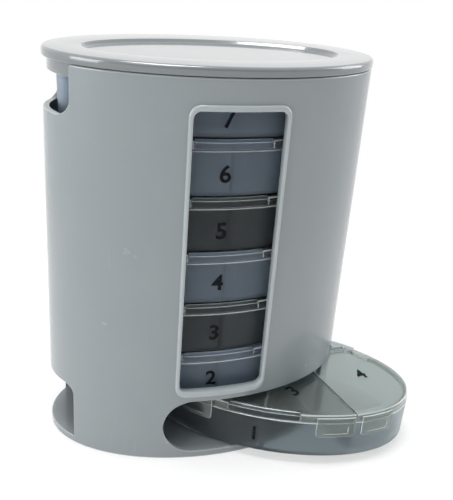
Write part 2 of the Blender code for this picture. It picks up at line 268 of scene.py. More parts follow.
def finish(name, mesh, materials, body, node=None, matrix=None):
    # a finished piece in its place, riding on its body, with a second material for its rounded edges, painted
    # paler as a highlight
    piece = mesh.copy()
    piece.name = name
    if matrix:
        piece.transform(matrix)
    marks = [face.material_index for face in piece.polygons]
    piece.materials.clear()
    for material in materials:
        piece.materials.append(material)
    for face, mark in zip(piece.polygons, marks):
        face.material_index = min(mark, len(materials) - 1)
    made = helper(name, piece)
    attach(made, body)
    if node:
        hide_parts(node)


# Shader groups that the plastics share

def newGroup(name, inputs, outputs):
    tree = bpy.data.node_groups.new(name, "ShaderNodeTree")
    for label, value in inputs:
        socket = tree.interface.new_socket(label, in_out="INPUT", socket_type="NodeSocketFloat")
        socket.default_value = value
    for label in outputs:
        tree.interface.new_socket(label, in_out="OUTPUT", socket_type="NodeSocketFloat")
    return tree, tree.nodes.new("NodeGroupInput"), tree.nodes.new("NodeGroupOutput")


def addNode(tree, kind, inputs, **settings):
    # an input is a fixed value, or another node's output that is linked to it
    node = tree.nodes.new(kind)
    for label, value in settings.items():
        setattr(node, label, value)
    for label, value in inputs.items():
        if isinstance(value, bpy.types.NodeSocket):
            tree.links.new(value, node.inputs[label])
        else:
            node.inputs[label].default_value = value
    return node


def mathNode(tree, operation, *values):
    return addNode(tree, "ShaderNodeMath", dict(enumerate(values)), operation=operation).outputs[0]


def ramp(tree, value, low, high):
    sockets = {"Value": value, "From Min": low, "From Max": high}
    return addNode(tree, "ShaderNodeMapRange", sockets, clamp=True).outputs["Result"]


def noise(tree, place, scale, detail, roughness=0.5):
    sockets = {"Vector": place, "Scale": scale, "Detail": detail, "Roughness": roughness}
    return addNode(tree, "ShaderNodeTexNoise", sockets).outputs["Fac"]


surfaceMarks = {
    "flowScale": 60.0,
    "flowRange": (0.3, 0.7),
    "scratchTurn": (0.3, 0.5, 0.8),
    "scratchStretch": (1.0, 0.06, 0.06),
    "scratchRange": (0.66, 0.74),
    "smearScale": 45.0,
    "smearRange": (0.48, 0.7),
}


def makeMouldGrain(s):
    # the fine waviness and flow marks of moulded plastic
    tree, given, result = newGroup(
        "mouldGrain", [("Grain Scale", 900.0), ("Wave Scale", 28.0), ("Grain", 0.3)], ["Height", "Flow"])
    place = tree.nodes.new("ShaderNodeTexCoord").outputs["Object"]
    grain = noise(tree, place, given.outputs["Grain Scale"], detail=2.0)
    wave = noise(tree, place, given.outputs["Wave Scale"], detail=1.0)
    mixed = mathNode(tree, "ADD", mathNode(tree, "MULTIPLY", grain, given.outputs["Grain"]), wave)
    streaks = noise(tree, place, s["flowScale"], detail=4.0, roughness=0.6)
    flow = ramp(tree, streaks, *s["flowRange"])
    tree.links.new(mixed, result.inputs["Height"])
    tree.links.new(flow, result.inputs["Flow"])
    return tree


def makeHandling(s):
    # fine scratches and faint smears from handling
    tree, given, result = newGroup(
        "handling", [("Amount", 0.5), ("Scratch Scale", 260.0)], ["Smear", "Scratch"])
    place = tree.nodes.new("ShaderNodeTexCoord").outputs["Object"]
    stretched = addNode(tree, "ShaderNodeMapping", {
        "Rotation": s["scratchTurn"], "Scale": s["scratchStretch"], "Vector": place})
    lines = noise(
        tree, stretched.outputs["Vector"], given.outputs["Scratch Scale"], detail=3.0, roughness=0.7)
    scratch = mathNode(tree, "MULTIPLY", ramp(tree, lines, *s["scratchRange"]), given.outputs["Amount"])
    patches = noise(tree, place, s["smearScale"], detail=3.0, roughness=0.6)
    smear = mathNode(tree, "MULTIPLY", ramp(tree, patches, *s["smearRange"]), given.outputs["Amount"])
    tree.links.new(smear, result.inputs["Smear"])
    tree.links.new(scratch, result.inputs["Scratch"])
    return tree


mouldGrain = makeMouldGrain(surfaceMarks)
handling = makeHandling(surfaceMarks)


def makePlastic(name, look):
    # a moulded plastic, opaque or see-through
    material = bpy.data.materials.new(name)
    material.use_nodes = True
    tree = material.node_tree
    shader = tree.nodes["Principled BSDF"]
    grain = addNode(tree, "ShaderNodeGroup", {
        "Grain Scale": look["grainScale"], "Wave Scale": look["waveScale"], "Grain": look["grain"],
    }, node_tree=mouldGrain)
    marks = addNode(tree, "ShaderNodeGroup", {
        "Amount": look["handled"], "Scratch Scale": look["scratchScale"],
    }, node_tree=handling)

    tint = addNode(tree, "ShaderNodeMix", {
        "A": (*look["colour"], 1.0), "B": (*look["flowColour"], 1.0), "Factor": grain.outputs["Flow"],
    }, data_type="RGBA")
    dusty = addNode(tree, "ShaderNodeMix", {
        "A": tint.outputs["Result"], "B": (*look["scratchColour"], 1.0),
        "Factor": marks.outputs["Scratch"],
    }, data_type="RGBA")
    tree.links.new(dusty.outputs["Result"], shader.inputs["Base Color"])

    rough = mathNode(tree, "MULTIPLY", marks.outputs["Smear"], look["smearRoughness"])
    rough = mathNode(tree, "ADD", rough, look["roughness"])
    tree.links.new(rough, shader.inputs["Roughness"])

    bump = addNode(tree, "ShaderNodeBump", {
        "Strength": look["bump"], "Distance": look["bumpDepth"], "Height": grain.outputs["Height"]})
    tree.links.new(bump.outputs["Normal"], shader.inputs["Normal"])

    shader.inputs["IOR"].default_value = look["ior"]
    shader.inputs["Transmission Weight"].default_value = look["seeThrough"]
    shader.inputs["Coat Weight"].default_value = look["coat"]
    shader.inputs["Coat Roughness"].default_value = look["coatRoughness"]
    shader.inputs["Coat IOR"].default_value = look["coatIor"]
    shader.inputs["Specular IOR Level"].default_value = look["specular"]
    return material


casingLook = {
    "colour": (0.248, 0.276, 0.288), "flowColour": (0.240, 0.269, 0.282), "scratchColour": (0.36, 0.39, 0.40),
    "roughness": 0.24, "smearRoughness": 0.10, "grainScale": 2600.0, "waveScale": 26.0, "grain": 0.10,
    "bump": 0.10, "bumpDepth": 0.25 * mm, "handled": 0.35, "scratchScale": 300.0,
    "ior": 1.47, "seeThrough": 0.0, "coat": 0.4, "coatRoughness": 0.06, "coatIor": 1.45,
    "specular": 0.5,
}
# Paler copy of the casing plastic for rounded edges and the window's bead: the lighter colour is a painted
# highlight, the gloss is real
casingPaintedHighlightLook = dict(
    casingLook, colour=(0.35, 0.385, 0.395), flowColour=(0.34, 0.375, 0.388), roughness=0.18, coat=0.8)
# The cover is the casing's plastic painted darker: a painted shade for its darker front side
coverPaintedShadeLook = dict(
    casingLook, colour=(0.168, 0.185, 0.193), flowColour=(0.163, 0.181, 0.190), roughness=0.20, coat=1.0,
    coatIor=1.6)
clearLook = dict(
    casingLook, colour=(0.50, 0.60, 0.70), flowColour=(0.47, 0.57, 0.67), scratchColour=(0.75, 0.78, 0.8),
    roughness=0.28, smearRoughness=0.10, bump=0.12, seeThrough=0.86, ior=1.22, coat=0.0, handled=0.5)
smokeLook = dict(
    clearLook, colour=(0.52, 0.575, 0.60), flowColour=(0.49, 0.545, 0.57), scratchColour=(0.46, 0.53, 0.55),
    seeThrough=0.96)
clearLidLook = dict(
    clearLook, colour=(0.64, 0.71, 0.78), flowColour=(0.61, 0.68, 0.75), roughness=0.10, seeThrough=0.92,
    ior=1.5, coat=0.3)
smokeLidLook = dict(
    smokeLook, colour=(0.61, 0.67, 0.64), flowColour=(0.58, 0.65, 0.61), roughness=0.08, ior=1.45, coat=0.3)
# Paler, less see-through copies for the trays' and lids' rounded edges: the lighter colour is a painted
# highlight
clearPaintedHighlightLook = dict(
    clearLook, colour=(0.80, 0.84, 0.88), flowColour=(0.78, 0.82, 0.86), roughness=0.12, seeThrough=0.45,
    ior=1.5, coat=1.0)
smokePaintedHighlightLook = dict(
    smokeLook, colour=(0.74, 0.80, 0.78), flowColour=(0.72, 0.78, 0.76), roughness=0.12, seeThrough=0.45,
    ior=1.5, coat=1.0)
inkLook = dict(
    casingLook, colour=(0.004, 0.005, 0.007), flowColour=(0.006, 0.007, 0.009),
    scratchColour=(0.02, 0.02, 0.02), roughness=0.5, bump=0.05, coat=0.0, specular=0.1)

casingPlastic = makePlastic("casingPlastic", casingLook)
coverPaintedShadePlastic = makePlastic("coverPaintedShadePlastic", coverPaintedShadeLook)
clearPlastic = makePlastic("clearPlastic", clearLook)
smokePlastic = makePlastic("smokePlastic", smokeLook)
clearLidPlastic = makePlastic("clearLidPlastic", clearLidLook)
smokeLidPlastic = makePlastic("smokeLidPlastic", smokeLidLook)
casingPaintedHighlight = makePlastic("casingPaintedHighlight", casingPaintedHighlightLook)
clearPaintedHighlight = makePlastic("clearPaintedHighlight", clearPaintedHighlightLook)
smokePaintedHighlight = makePlastic("smokePaintedHighlight", smokePaintedHighlightLook)
printedInk = makePlastic("printedInk", inkLook)
print("plastics ready")


# The casing: an oval cup, cut for the window, the slot, the finger hole and the notch

casingSizes = {
    "wall": 2.2 * mm,
    "floor": 3.0 * mm,
    "footRound": 0.7 * mm,
    "rimRound": 0.55 * mm,
    "rimWall": 1.1 * mm,
    "rimSeatDepth": 4.6 * mm,
    "segments": 224,
    "rings": 20,
    "windowHalfWidth": 15.8 * mm,
    "windowLow": 30.4 * mm,
    "windowHigh": 134.2 * mm,
    "windowCorner": 2.6 * mm,
    "bezelWidth": 1.5 * mm,
    "bezelTopWidth": 2.1 * mm,
    "bezelLowWidth": 2.5 * mm,
    "bezelRaise": 1.0 * mm,
    "bezelRoot": 0.8 * mm,
    "bezelLap": 0.03 * mm,
    "bezelRound": 0.7 * mm,
    "bezelSteps": 48,
    "bezelShading": 30,
    "slotTop": 25.65 * mm,
    "slotFrontReach": 20.8 * mm,
    "slotRearStart": 15.0 * mm,
    "gripHalfWidth": 16.6 * mm,
    "fingerHoleCorner": 4.0 * mm,
    "notchDepth": 16.7 * mm,
    "notchCorner": 5.7 * mm,
    "edgeRound": 0.35 * mm,
}


def cornered(lowU, highU, lowV, highV, radii, steps=10):
    # a rectangle with a radius for each corner, from the low one, counter-clockwise
    centres = [
        (lowU + radii[0], lowV + radii[0]), (highU - radii[1], lowV + radii[1]),
        (highU - radii[2], highV - radii[2]), (lowU + radii[3], highV - radii[3]),
    ]
    outline = []
    for quarter, (u, v) in enumerate(centres):
        radius = radii[quarter]
        for step in range(steps + 1 if radius > 0 else 1):
            angle = math.pi + math.pi / 2 * (quarter + step / steps)
            outline.append((u + radius * math.cos(angle), v + radius * math.sin(angle)))
    return outline


def stepped(profile, low, high, count):
    # splits a profile's upright from low to high, so that no facet of the wall is long
    split = []
    for before, after in zip(profile, profile[1:]):
        split.append(before)
        if abs(before[0] - after[0]) < hair and {before[1], after[1]} == {low, high}:
            climb = after[1] - before[1]
            split += [(before[0], before[1] + climb * step / count, 0) for step in range(1, count)]
    return split + [profile[-1]]


def makeCasing(s):
    size = (halfLength, halfDepth)
    far = halfDepth * 1.2  # the cutters reach past the walls
    beyond = halfLength * 1.1
    seat = rimHeight - s["rimSeatDepth"]
    body = ovalTurn("casingOutside", size, roundedProfile(stepped([
        (s["wall"] * 2, rimHeight, 0),
        (0, rimHeight, s["rimRound"]),
        (0, 0, s["footRound"]),
        (s["wall"] * 2, 0, 0),
    ], 0, rimHeight, s["rings"])), s["segments"])
    bore = ovalTurn("casingBore", size, roundedProfile(stepped([
        (s["wall"] * 2, s["floor"], 0),
        (s["wall"], s["floor"], s["footRound"]),
        (s["wall"], seat, 0),
        (s["rimWall"], seat, 0),
        (s["rimWall"], rimHeight + s["wall"], 0),
        (s["wall"] * 2, rimHeight + s["wall"], 0),
    ], s["floor"], seat, s["rings"])), s["segments"])
    window = prism("window", cornered(
        -s["windowHalfWidth"], s["windowHalfWidth"], s["windowLow"], s["windowHigh"],
        [s["windowCorner"]] * 4), halfDepth / 2, far, standUp)
    slotEnd = (s["slotTop"] - s["floor"]) / 2
    slotCorners = [slotEnd, 0, 0, slotEnd]
    slotFront = prism("slotFront", cornered(
        -s["slotFrontReach"], beyond, s["floor"], s["slotTop"], slotCorners, steps=20), 0, far, standUp)
    slotRear = prism("slotRear", cornered(
        s["slotRearStart"], beyond, s["floor"], s["slotTop"], slotCorners, steps=20), -far, 0, standUp)
    fingerHole = prism("fingerHole", cornered(
        -s["gripHalfWidth"], s["gripHalfWidth"], s["floor"], s["slotTop"],
        [0, 0, s["fingerHoleCorner"], s["fingerHoleCorner"]]), -beyond, -halfLength / 2, faceEnd)
    notch = prism("notch", cornered(
        -s["gripHalfWidth"], s["gripHalfWidth"], rimHeight - s["notchDepth"], rimHeight * 1.05,
        [s["notchCorner"], s["notchCorner"], 0, 0]), -beyond, -halfLength / 2, faceEnd)
    body = combine(body, [bore, window, slotFront, slotRear, fingerHole, notch], "DIFFERENCE")
    return softened(body, s["edgeRound"])


def makeBezel(s):
    # the raised bead round the window: a flat frame with rounded edges, bent to the oval wall
    half, low, high = s["windowHalfWidth"], s["windowLow"], s["windowHigh"]
    wide, lap, corner = s["bezelWidth"], s["bezelLap"], s["windowCorner"]
    above, below = s["bezelTopWidth"], s["bezelLowWidth"]
    outer = cornered(-half - wide, half + wide, low - below, high + above, [corner + wide] * 4)
    inner = cornered(-half + lap, half - lap, low + lap, high - lap, [corner - lap] * 4)
    flat = combine(prism("bezel", outer, -s["bezelRoot"], s["bezelRaise"]),
                   [prism("bezelOpening", inner, -s["wall"] * 2, s["wall"] * 2)], "DIFFERENCE")
    shape = opened(flat.data)
    bpy.data.objects.remove(flat)
    front = [edge for edge in shape.edges if isRidge(edge, squareFold)
             and all(end.co.z > s["bezelRaise"] - hair for end in edge.verts)]
    bmesh.ops.bevel(shape, geom=front, offset=s["bezelRound"], segments=6, profile=0.5, affect="EDGES")
    span = (half + wide) * 2
    sliced(shape, [span * (step / s["bezelSteps"] - 0.5) for step in range(1, s["bezelSteps"])])
    for point in shape.verts:
        across, height, out = point.co
        reach = math.sqrt(1 - (across / (halfLength + out)) ** 2)
        point.co = (across, -(halfDepth + out) * reach, height)
    return evened(fromShape("bezel", shape), s["bezelShading"])


finish("casingShell", makeCasing(casingSizes), [casingPlastic, casingPaintedHighlight], "casing",
       "casing")
# the whole bead wears the paler edge plastic: a painted highlight
finish("casingBezel", makeBezel(casingSizes), [casingPaintedHighlight], "casing")
print("casing ready")


# The cover: an overhanging plate with an oval recess, and a skirt inside the rim

coverSizes = {
    "overhang": coverTop.x - halfLength,
    "base": rimHeight + 0.25 * mm,
    "edgeRound": 1.25 * mm,
    "underRound": 0.5 * mm,
    "plate": 1.4 * mm,
    "recessMargin": 12.6 * mm,
    "recessDepth": 1.2 * mm,
    "recessSlope": 1.1 * mm,
    "recessRimRound": 0.6 * mm,
    "recessFootRound": 0.7 * mm,
    "skirtInset": 1.4 * mm,
    "skirt": 1.5 * mm,
    "skirtRound": 0.5 * mm,
    "skirtRootRound": 0.1 * mm,
    "hollowRound": 0.8 * mm,
    "shading": 50,
    "segments": 256,
}


def makeCover(s):
    top = coverTop.z
    inner = s["skirtInset"] + s["skirt"]
    hollow = top - s["recessDepth"] - s["plate"]
    profile = roundedProfile([
        (s["recessMargin"] + s["recessSlope"] * 3, top - s["recessDepth"], 0),
        (s["recessMargin"] + s["recessSlope"], top - s["recessDepth"], s["recessFootRound"]),
        (s["recessMargin"], top, s["recessRimRound"]),
        (-s["overhang"], top, s["edgeRound"]),
        (-s["overhang"], s["base"], s["underRound"]),
        (s["skirtInset"], s["base"], s["skirtRootRound"]),
        (s["skirtInset"], coverLow.z, s["skirtRound"]),
        (inner, coverLow.z, s["skirtRound"]),
        (inner, hollow, s["hollowRound"]),
        (inner * 2, hollow, 0),
    ], steps=6)
    lid = ovalTurn("coverSolid", (halfLength, halfDepth), profile, s["segments"])
    lid.data.shade_smooth()
    lid.data.set_sharp_from_angle(angle=math.radians(s["shading"]))
    mesh = lid.data.copy()
    bpy.data.objects.remove(lid)
    return mesh


finish("coverShell", makeCover(coverSizes), [coverPaintedShadePlastic], "tower_cover", "tower_cover")
print("cover ready")


# The trays: four pockets under a rear deck, with a stepped wall that the lids close over

traySizes = {
    "halfLength": halfLength - 4.4 * mm,
    "halfDepth": halfDepth - 4.4 * mm,
    "floor": 1.4 * mm,
    "footShare": 0.993,
    "footRound": 2.0 * mm,
    "bodyInset": 0.15 * mm,
    "bandInset": 0.45 * mm,
    "wall": 1.1 * mm,
    "wallTopRound": 0.2 * mm,
    "divider": 1.3 * mm,
    "band": 3.4 * mm,
    "plate": 1.5 * mm,
    "skirt": 0.9 * mm,
    "gap": 0.3 * mm,
    "lidGap": 0.4 * mm,
    "frontRim": 1.6 * mm,
    "rimSlopeDrop": 1.0 * mm,
    "rimSlopeRun": 0.8 * mm,
    "rimRound": 0.3 * mm,
    "shoulderRound": 0.3 * mm,
    "hingeRadius": 1.3 * mm,
    "hingeToLid": 2.2 * mm,
    "deckEdge": 1.5 * mm,
    "arm": 1.0 * mm,
    "pinRadius": 0.6 * mm,
    "pinLength": 1.5 * mm,
    "pinClearance": 0.2 * mm,
    "swingRelief": 9.0 * mm,
    "pocketCorner": 1.6 * mm,
    "pocketFoot": 1.2 * mm,
    "edgeRound": 0.14 * mm,
    "segments": 144,
    "dividerFrontShare": 0.642,
    "dividerRearShare": 0.694,
    "frontRimShare": 0.249,
}
# By whether a lid is an outer one. Places are shares of the tray's half sizes, tabs of its half length
hingeSizes = {
    False: {"place": (0.092, 0.24), "turn": 0.0, "halfLength": 2.4 * mm, "tab": (0.365, 0.625)},
    True: {"place": (0.403, 0.707), "turn": math.radians(26), "halfLength": 5.5 * mm, "tab": (0.672, 0.875)},
}
hingeHeight = trayHeight - traySizes["hingeRadius"]
bandBase = trayHeight - traySizes["band"]
wallInset = traySizes["skirt"] + traySizes["gap"]
overrun = 2.0 * mm


def trayOutline(inset):
    count = traySizes["segments"]
    return [((traySizes["halfLength"] - inset) * math.cos(math.tau * index / count),
             (traySizes["halfDepth"] - inset) * math.sin(math.tau * index / count)) for index in range(count)]


def clip(outline, place, direction):
    # the part of an outline beyond place, going in direction
    kept = []
    for index, (x, y) in enumerate(outline):
        beforeX, beforeY = outline[index - 1]
        here = (x - place[0]) * direction[0] + (y - place[1]) * direction[1]
        before = (beforeX - place[0]) * direction[0] + (beforeY - place[1]) * direction[1]
        if here * before < 0:
            share = before / (before - here)
            kept.append((beforeX + (x - beforeX) * share, beforeY + (y - beforeY) * share))
        if here >= 0:
            kept.append((x, y))
    return kept


def hingeOf(side, outer):
    sizes = hingeSizes[outer]
    turn = side * sizes["turn"]
    place = Vector((side * traySizes["halfLength"] * sizes["place"][0],
                    traySizes["halfDepth"] * sizes["place"][1]))
    return {
        "frame": Matrix.Translation((*place, hingeHeight)) @ Matrix.Rotation(turn, 4, "Z"),
        "place": place,
        "along": Vector((math.cos(turn), math.sin(turn))),
        "intoLid": Vector((math.sin(turn), -math.cos(turn))),
        "halfLength": sizes["halfLength"],
        "tab": sizes["tab"],
    }


def dividerOf(side):
    s = traySizes
    frontX = s["halfLength"] * s["dividerFrontShare"]
    front = Vector((side * frontX, -s["halfDepth"] * math.sqrt(1 - s["dividerFrontShare"] ** 2)))
    rear = Vector((0, s["halfDepth"] * s["dividerRearShare"]))
    along = (rear - front).normalized()
    return rear, Vector((side * along.y, -side * along.x))


def sector(outline, side, outer, spineGap, dividerGap):
    rear, outward = dividerOf(side)
    direction = outward if outer else -outward
    part = clip(outline, (side * spineGap, 0), (side, 0))
    return clip(part, rear + direction * dividerGap, direction)


def hingeBox(name, hinge, start, end, near, far, low, high):
    shape = bmesh.new()
    bmesh.ops.create_cube(shape, size=1.0)
    bmesh.ops.scale(shape, vec=(abs(end - start), far - near, high - low), verts=shape.verts)
    bmesh.ops.translate(
        shape, vec=((start + end) / 2, -(near + far) / 2, (low + high) / 2), verts=shape.verts)
    return fromShape(name, shape, hinge["frame"])


def meeting(place, along, otherPlace, otherNormal):
    point = place + along * ((otherPlace - place).dot(otherNormal) / along.dot(otherNormal))
    return point.x, point.y


def deckOutline():
    outline = trayOutline(0)
    corners = []
    for side in (-1, 1):
        rear, outward = dividerOf(side)
        innerHinge = hingeOf(side, False)
        outerHinge = hingeOf(side, True)
        slanting = outerHinge["place"] + outerHinge["intoLid"] * traySizes["deckEdge"]
        outline = clip(outline, slanting, -outerHinge["intoLid"])
        beside = rear - outward * traySizes["lidGap"] / 2
        front = innerHinge["place"] + innerHinge["intoLid"] * traySizes["deckEdge"]
        inner = [meeting(slanting, outerHinge["along"], beside, outward),
                 meeting(front, innerHinge["along"], beside, outward)]
        corners += inner if side < 0 else inner[::-1]
    lowest = outline.index(min(outline, key=lambda point: point[1]))
    return outline[:lowest] + corners + outline[lowest + 1:]


# A band that follows the tray's front rim: Geometry Nodes sweep a section along the oval

def makeRimSweep():
    tree = bpy.data.node_groups.new("rimSweep", "GeometryNodeTree")
    tree.interface.new_socket("Geometry", in_out="OUTPUT", socket_type="NodeSocketGeometry")
    for label, value in (("Half Length", 0.05), ("Half Depth", 0.03), ("Start", -1.6), ("End", -1.4),
                         ("Low", 0.0), ("High", 0.003), ("Thickness", 0.001), ("Corner", 0.0001)):
        socket = tree.interface.new_socket(label, in_out="INPUT", socket_type="NodeSocketFloat")
        socket.default_value = value
    steps = tree.interface.new_socket("Steps", in_out="INPUT", socket_type="NodeSocketInt")
    steps.default_value = 16
    given = tree.nodes.new("NodeGroupInput").outputs
    result = tree.nodes.new("NodeGroupOutput")

    def maths(operation, *values):
        return mathNode(tree, operation, *values)

    index = tree.nodes.new("GeometryNodeInputIndex").outputs[0]
    share = maths("DIVIDE", index, maths("SUBTRACT", given["Steps"], 1.0))
    turned = maths("MULTIPLY", share, maths("SUBTRACT", given["End"], given["Start"]))
    angle = maths("ADD", given["Start"], turned)
    place = addNode(tree, "ShaderNodeCombineXYZ", {
        "X": maths("MULTIPLY", maths("COSINE", angle), given["Half Length"]),
        "Y": maths("MULTIPLY", maths("SINE", angle), given["Half Depth"]),
        "Z": maths("MULTIPLY", maths("ADD", given["Low"], given["High"]), 0.5),
    })
    line = addNode(tree, "GeometryNodeMeshLine", {"Count": given["Steps"]})
    laid = addNode(tree, "GeometryNodeSetPosition", {
        "Geometry": line.outputs["Mesh"], "Position": place.outputs[0]})
    path = addNode(tree, "GeometryNodeMeshToCurve", {"Mesh": laid.outputs[0]})
    upright = addNode(tree, "GeometryNodeSetCurveNormal", {"Curve": path.outputs[0]}, mode="Z_UP")
    section = addNode(tree, "GeometryNodeCurvePrimitiveQuadrilateral", {
        "Width": given["Thickness"], "Height": maths("SUBTRACT", given["High"], given["Low"])})
    rounded = addNode(tree, "GeometryNodeFilletCurve", {
        "Curve": section.outputs[0], "Radius": given["Corner"], "Count": 4}, mode="POLY")
    swept = addNode(tree, "GeometryNodeCurveToMesh", {
        "Curve": upright.outputs[0], "Profile Curve": rounded.outputs[0], "Fill Caps": True})
    whole = addNode(tree, "GeometryNodeRealizeInstances", {"Geometry": swept.outputs[0]})
    dressed = addNode(tree, "GeometryNodeSetMaterial", {
        "Geometry": whole.outputs[0], "Material": clearPlastic})
    tree.links.new(dressed.outputs[0], result.inputs["Geometry"])
    return tree


rimSweep = makeRimSweep()


def rimBand(name, side, shares, near, far, low, high, corner=0.02 * mm, steps=16):
    # a length of the rim between two shares of its half length and two insets
    carrier = helper(name, bpy.data.meshes.new(name))
    sweep = carrier.modifiers.new("rimSweep", "NODES")
    sweep.node_group = rimSweep
    angles = [-math.acos(side * share) for share in shares]
    middle = (near + far) / 2
    values = {
        "Half Length": traySizes["halfLength"] - middle, "Half Depth": traySizes["halfDepth"] - middle,
        "Start": min(angles), "End": max(angles), "Low": low, "High": high,
        "Thickness": abs(near - far), "Corner": corner, "Steps": steps,
    }
    for item in rimSweep.interface.items_tree:
        if item.in_out == "INPUT" and item.name in values:
            sweep[item.identifier] = values[item.name]
    shape = opened(freshMesh(carrier))
    bpy.data.objects.remove(carrier)
    bmesh.ops.remove_doubles(shape, verts=shape.verts, dist=hair)
    return fromShape(name, shape)


def makeFrontRim(s):
    # the fixed piece of rim between the noon and the evening lid, sloping at the top
    inner = s["frontRim"]
    rim = ovalTurn("frontRim", (s["halfLength"], s["halfDepth"]), roundedProfile([
        (inner * 2, bandBase, 0),
        (s["bandInset"], bandBase, 0),
        (s["bandInset"], trayHeight - s["rimSlopeDrop"], s["rimRound"]),
        (s["bandInset"] + s["rimSlopeRun"], trayHeight, s["rimRound"]),
        (inner * 2, trayHeight, 0),
    ]), s["segments"])
    half = s["halfLength"] * s["frontRimShare"]
    outline = prism("frontRimOutline", cornered(
        -half, half, 0, trayHeight + overrun, [0] * 4), 0, halfDepth, standUp)
    rim = combine(rim, [outline], "INTERSECT")
    behind = prism("frontRimBack", trayOutline(inner), 0, trayHeight + overrun)
    return combine(rim, [behind], "DIFFERENCE")


def makeTray(s):
    size = (s["halfLength"], s["halfDepth"])
    shoulder = bandBase - s["gap"]
    wallTop = trayHeight - s["plate"] - s["gap"]
    foot = s["bodyInset"] + s["halfLength"] * (1 - s["footShare"])
    solid = ovalTurn("traySolid", size, roundedProfile([
        (foot + s["footRound"] * 2, 0, 0),
        (foot, 0, s["footRound"]),
        (s["bodyInset"], shoulder, s["shoulderRound"]),
        (wallInset, shoulder, 0),
        (wallInset, wallTop, s["wallTopRound"]),
        (wallInset * 2, wallTop, 0),
    ], steps=5), s["segments"])
    pockets = []
    gap = s["divider"] / 2
    for side in (-1, 1):
        for outer in (False, True):
            outline = sector(trayOutline(wallInset + s["wall"]), side, outer, gap, gap)
            pockets.append(prism("pocket", roundedOutline(outline, s["pocketCorner"]), s["floor"], trayHeight,
                                 footRound=s["pocketFoot"]))
    solid = combine(solid, pockets, "DIFFERENCE")
    deck = prism("deck", deckOutline(), bandBase, trayHeight)
    solid = combine(solid, [deck, makeFrontRim(s)], "UNION")
    seats = []
    above = s["hingeRadius"] + overrun
    pinRoom = s["pinRadius"] + s["pinClearance"]
    barrelRoom = s["hingeRadius"] + s["gap"]
    for side in (-1, 1):
        for outer in (False, True):
            hinge = hingeOf(side, outer)
            half = hinge["halfLength"] + s["gap"]
            pinEnd = half + s["pinLength"]
            seats.append(hingeBox("barrelSeat", hinge, -half, half, -barrelRoom, s["hingeToLid"],
                                  -barrelRoom, above))
            seats.append(hingeBox("pinSeat", hinge, -pinEnd, pinEnd, -pinRoom, pinRoom, -pinRoom, above))
        # the last hinge is the outer one, whose lid swings past the end of its barrel
        seats.append(hingeBox("swingRelief", hinge, side * hinge["halfLength"], side * s["halfLength"],
                              (s["deckEdge"] + s["hingeToLid"]) / 2, s["swingRelief"],
                              shoulder + s["gap"] / 2 - hingeHeight, above))
    solid = combine(solid, seats, "DIFFERENCE")
    # edges above the shoulder get the paler plastic: painted highlight lines along the rim
    return softened(solid, s["edgeRound"], shoulder - s["shoulderRound"] * 2)


# The lids: a plate with a sloping margin, a skirt, a hinge barrel and a latch tab with a recess

lidSizes = {
    "marginWidth": 3.0 * mm,
    "marginDrop": 0.45 * mm,
    "marginRound": 1.2 * mm,
    "edgeRound": 0.55 * mm,
    "footRound": 0.1 * mm,
    "skirtRound": 0.05 * mm,
    "ceilingRound": 0.3 * mm,
    "cutRound": 0.12 * mm,
    "tabThickness": 0.5 * mm,
    "tabDrop": 6.0 * mm,
    "tabTopStep": 0.9 * mm,
    "tabCorner": 1.2 * mm,
    "tabRound": 0.14 * mm,
    "tabSteps": 18,
    "rootStep": 0.3 * mm,
    "rootTrim": 0.06,
    "rootInnerShare": 0.8,
    "rootOuterShare": 0.3,
    "recessDepth": 0.3 * mm,
    "recessShare": 0.62,
    "recessLow": 1.5 * mm,
    "recessHigh": 4.4 * mm,
    "recessCorner": 0.4 * mm,
    "segments": 144,
    "barrelSegments": 20,
}


def makeBarrel(hinge):
    s = traySizes
    half = hinge["halfLength"]
    tip = half + s["pinLength"] - s["gap"]
    shape = bmesh.new()
    for radius, reach in ((s["hingeRadius"], half), (s["pinRadius"], tip)):
        bmesh.ops.create_cone(shape, cap_ends=True, segments=lidSizes["barrelSegments"], radius1=radius,
                              radius2=radius, depth=reach * 2)
    return fromShape("barrel", shape, hinge["frame"] @ Matrix.Rotation(math.pi / 2, 4, "Y"))


def flatTab(length, near, far, s):
    # the latch tab before it is bent: rounded corners and edges, and a recess for a fingertip
    low = bandBase - s["tabDrop"]
    high = trayHeight - s["tabTopStep"]
    corners = [s["tabCorner"], s["tabCorner"], s["tabCorner"] / 4, s["tabCorner"] / 4]
    tab = prism("tab", cornered(0, length, low, high, corners, steps=6), -near, -far)
    trim = length * (1 - s["recessShare"]) / 2
    recess = prism("recess", cornered(
        trim, length - trim, low + s["recessLow"], low + s["recessHigh"], [s["recessCorner"]] * 4, steps=4),
        -far - s["recessDepth"], -far + overrun)
    tab = combine(tab, [recess], "DIFFERENCE")
    shape = opened(tab.data)
    bpy.data.objects.remove(tab)
    sharp = [edge for edge in shape.edges if isRidge(edge, squareFold)]
    bmesh.ops.bevel(shape, geom=sharp, offset=s["tabRound"], segments=3, profile=0.5, affect="EDGES")
    sliced(shape, [length * step / s["tabSteps"] for step in range(1, s["tabSteps"])])
    return shape


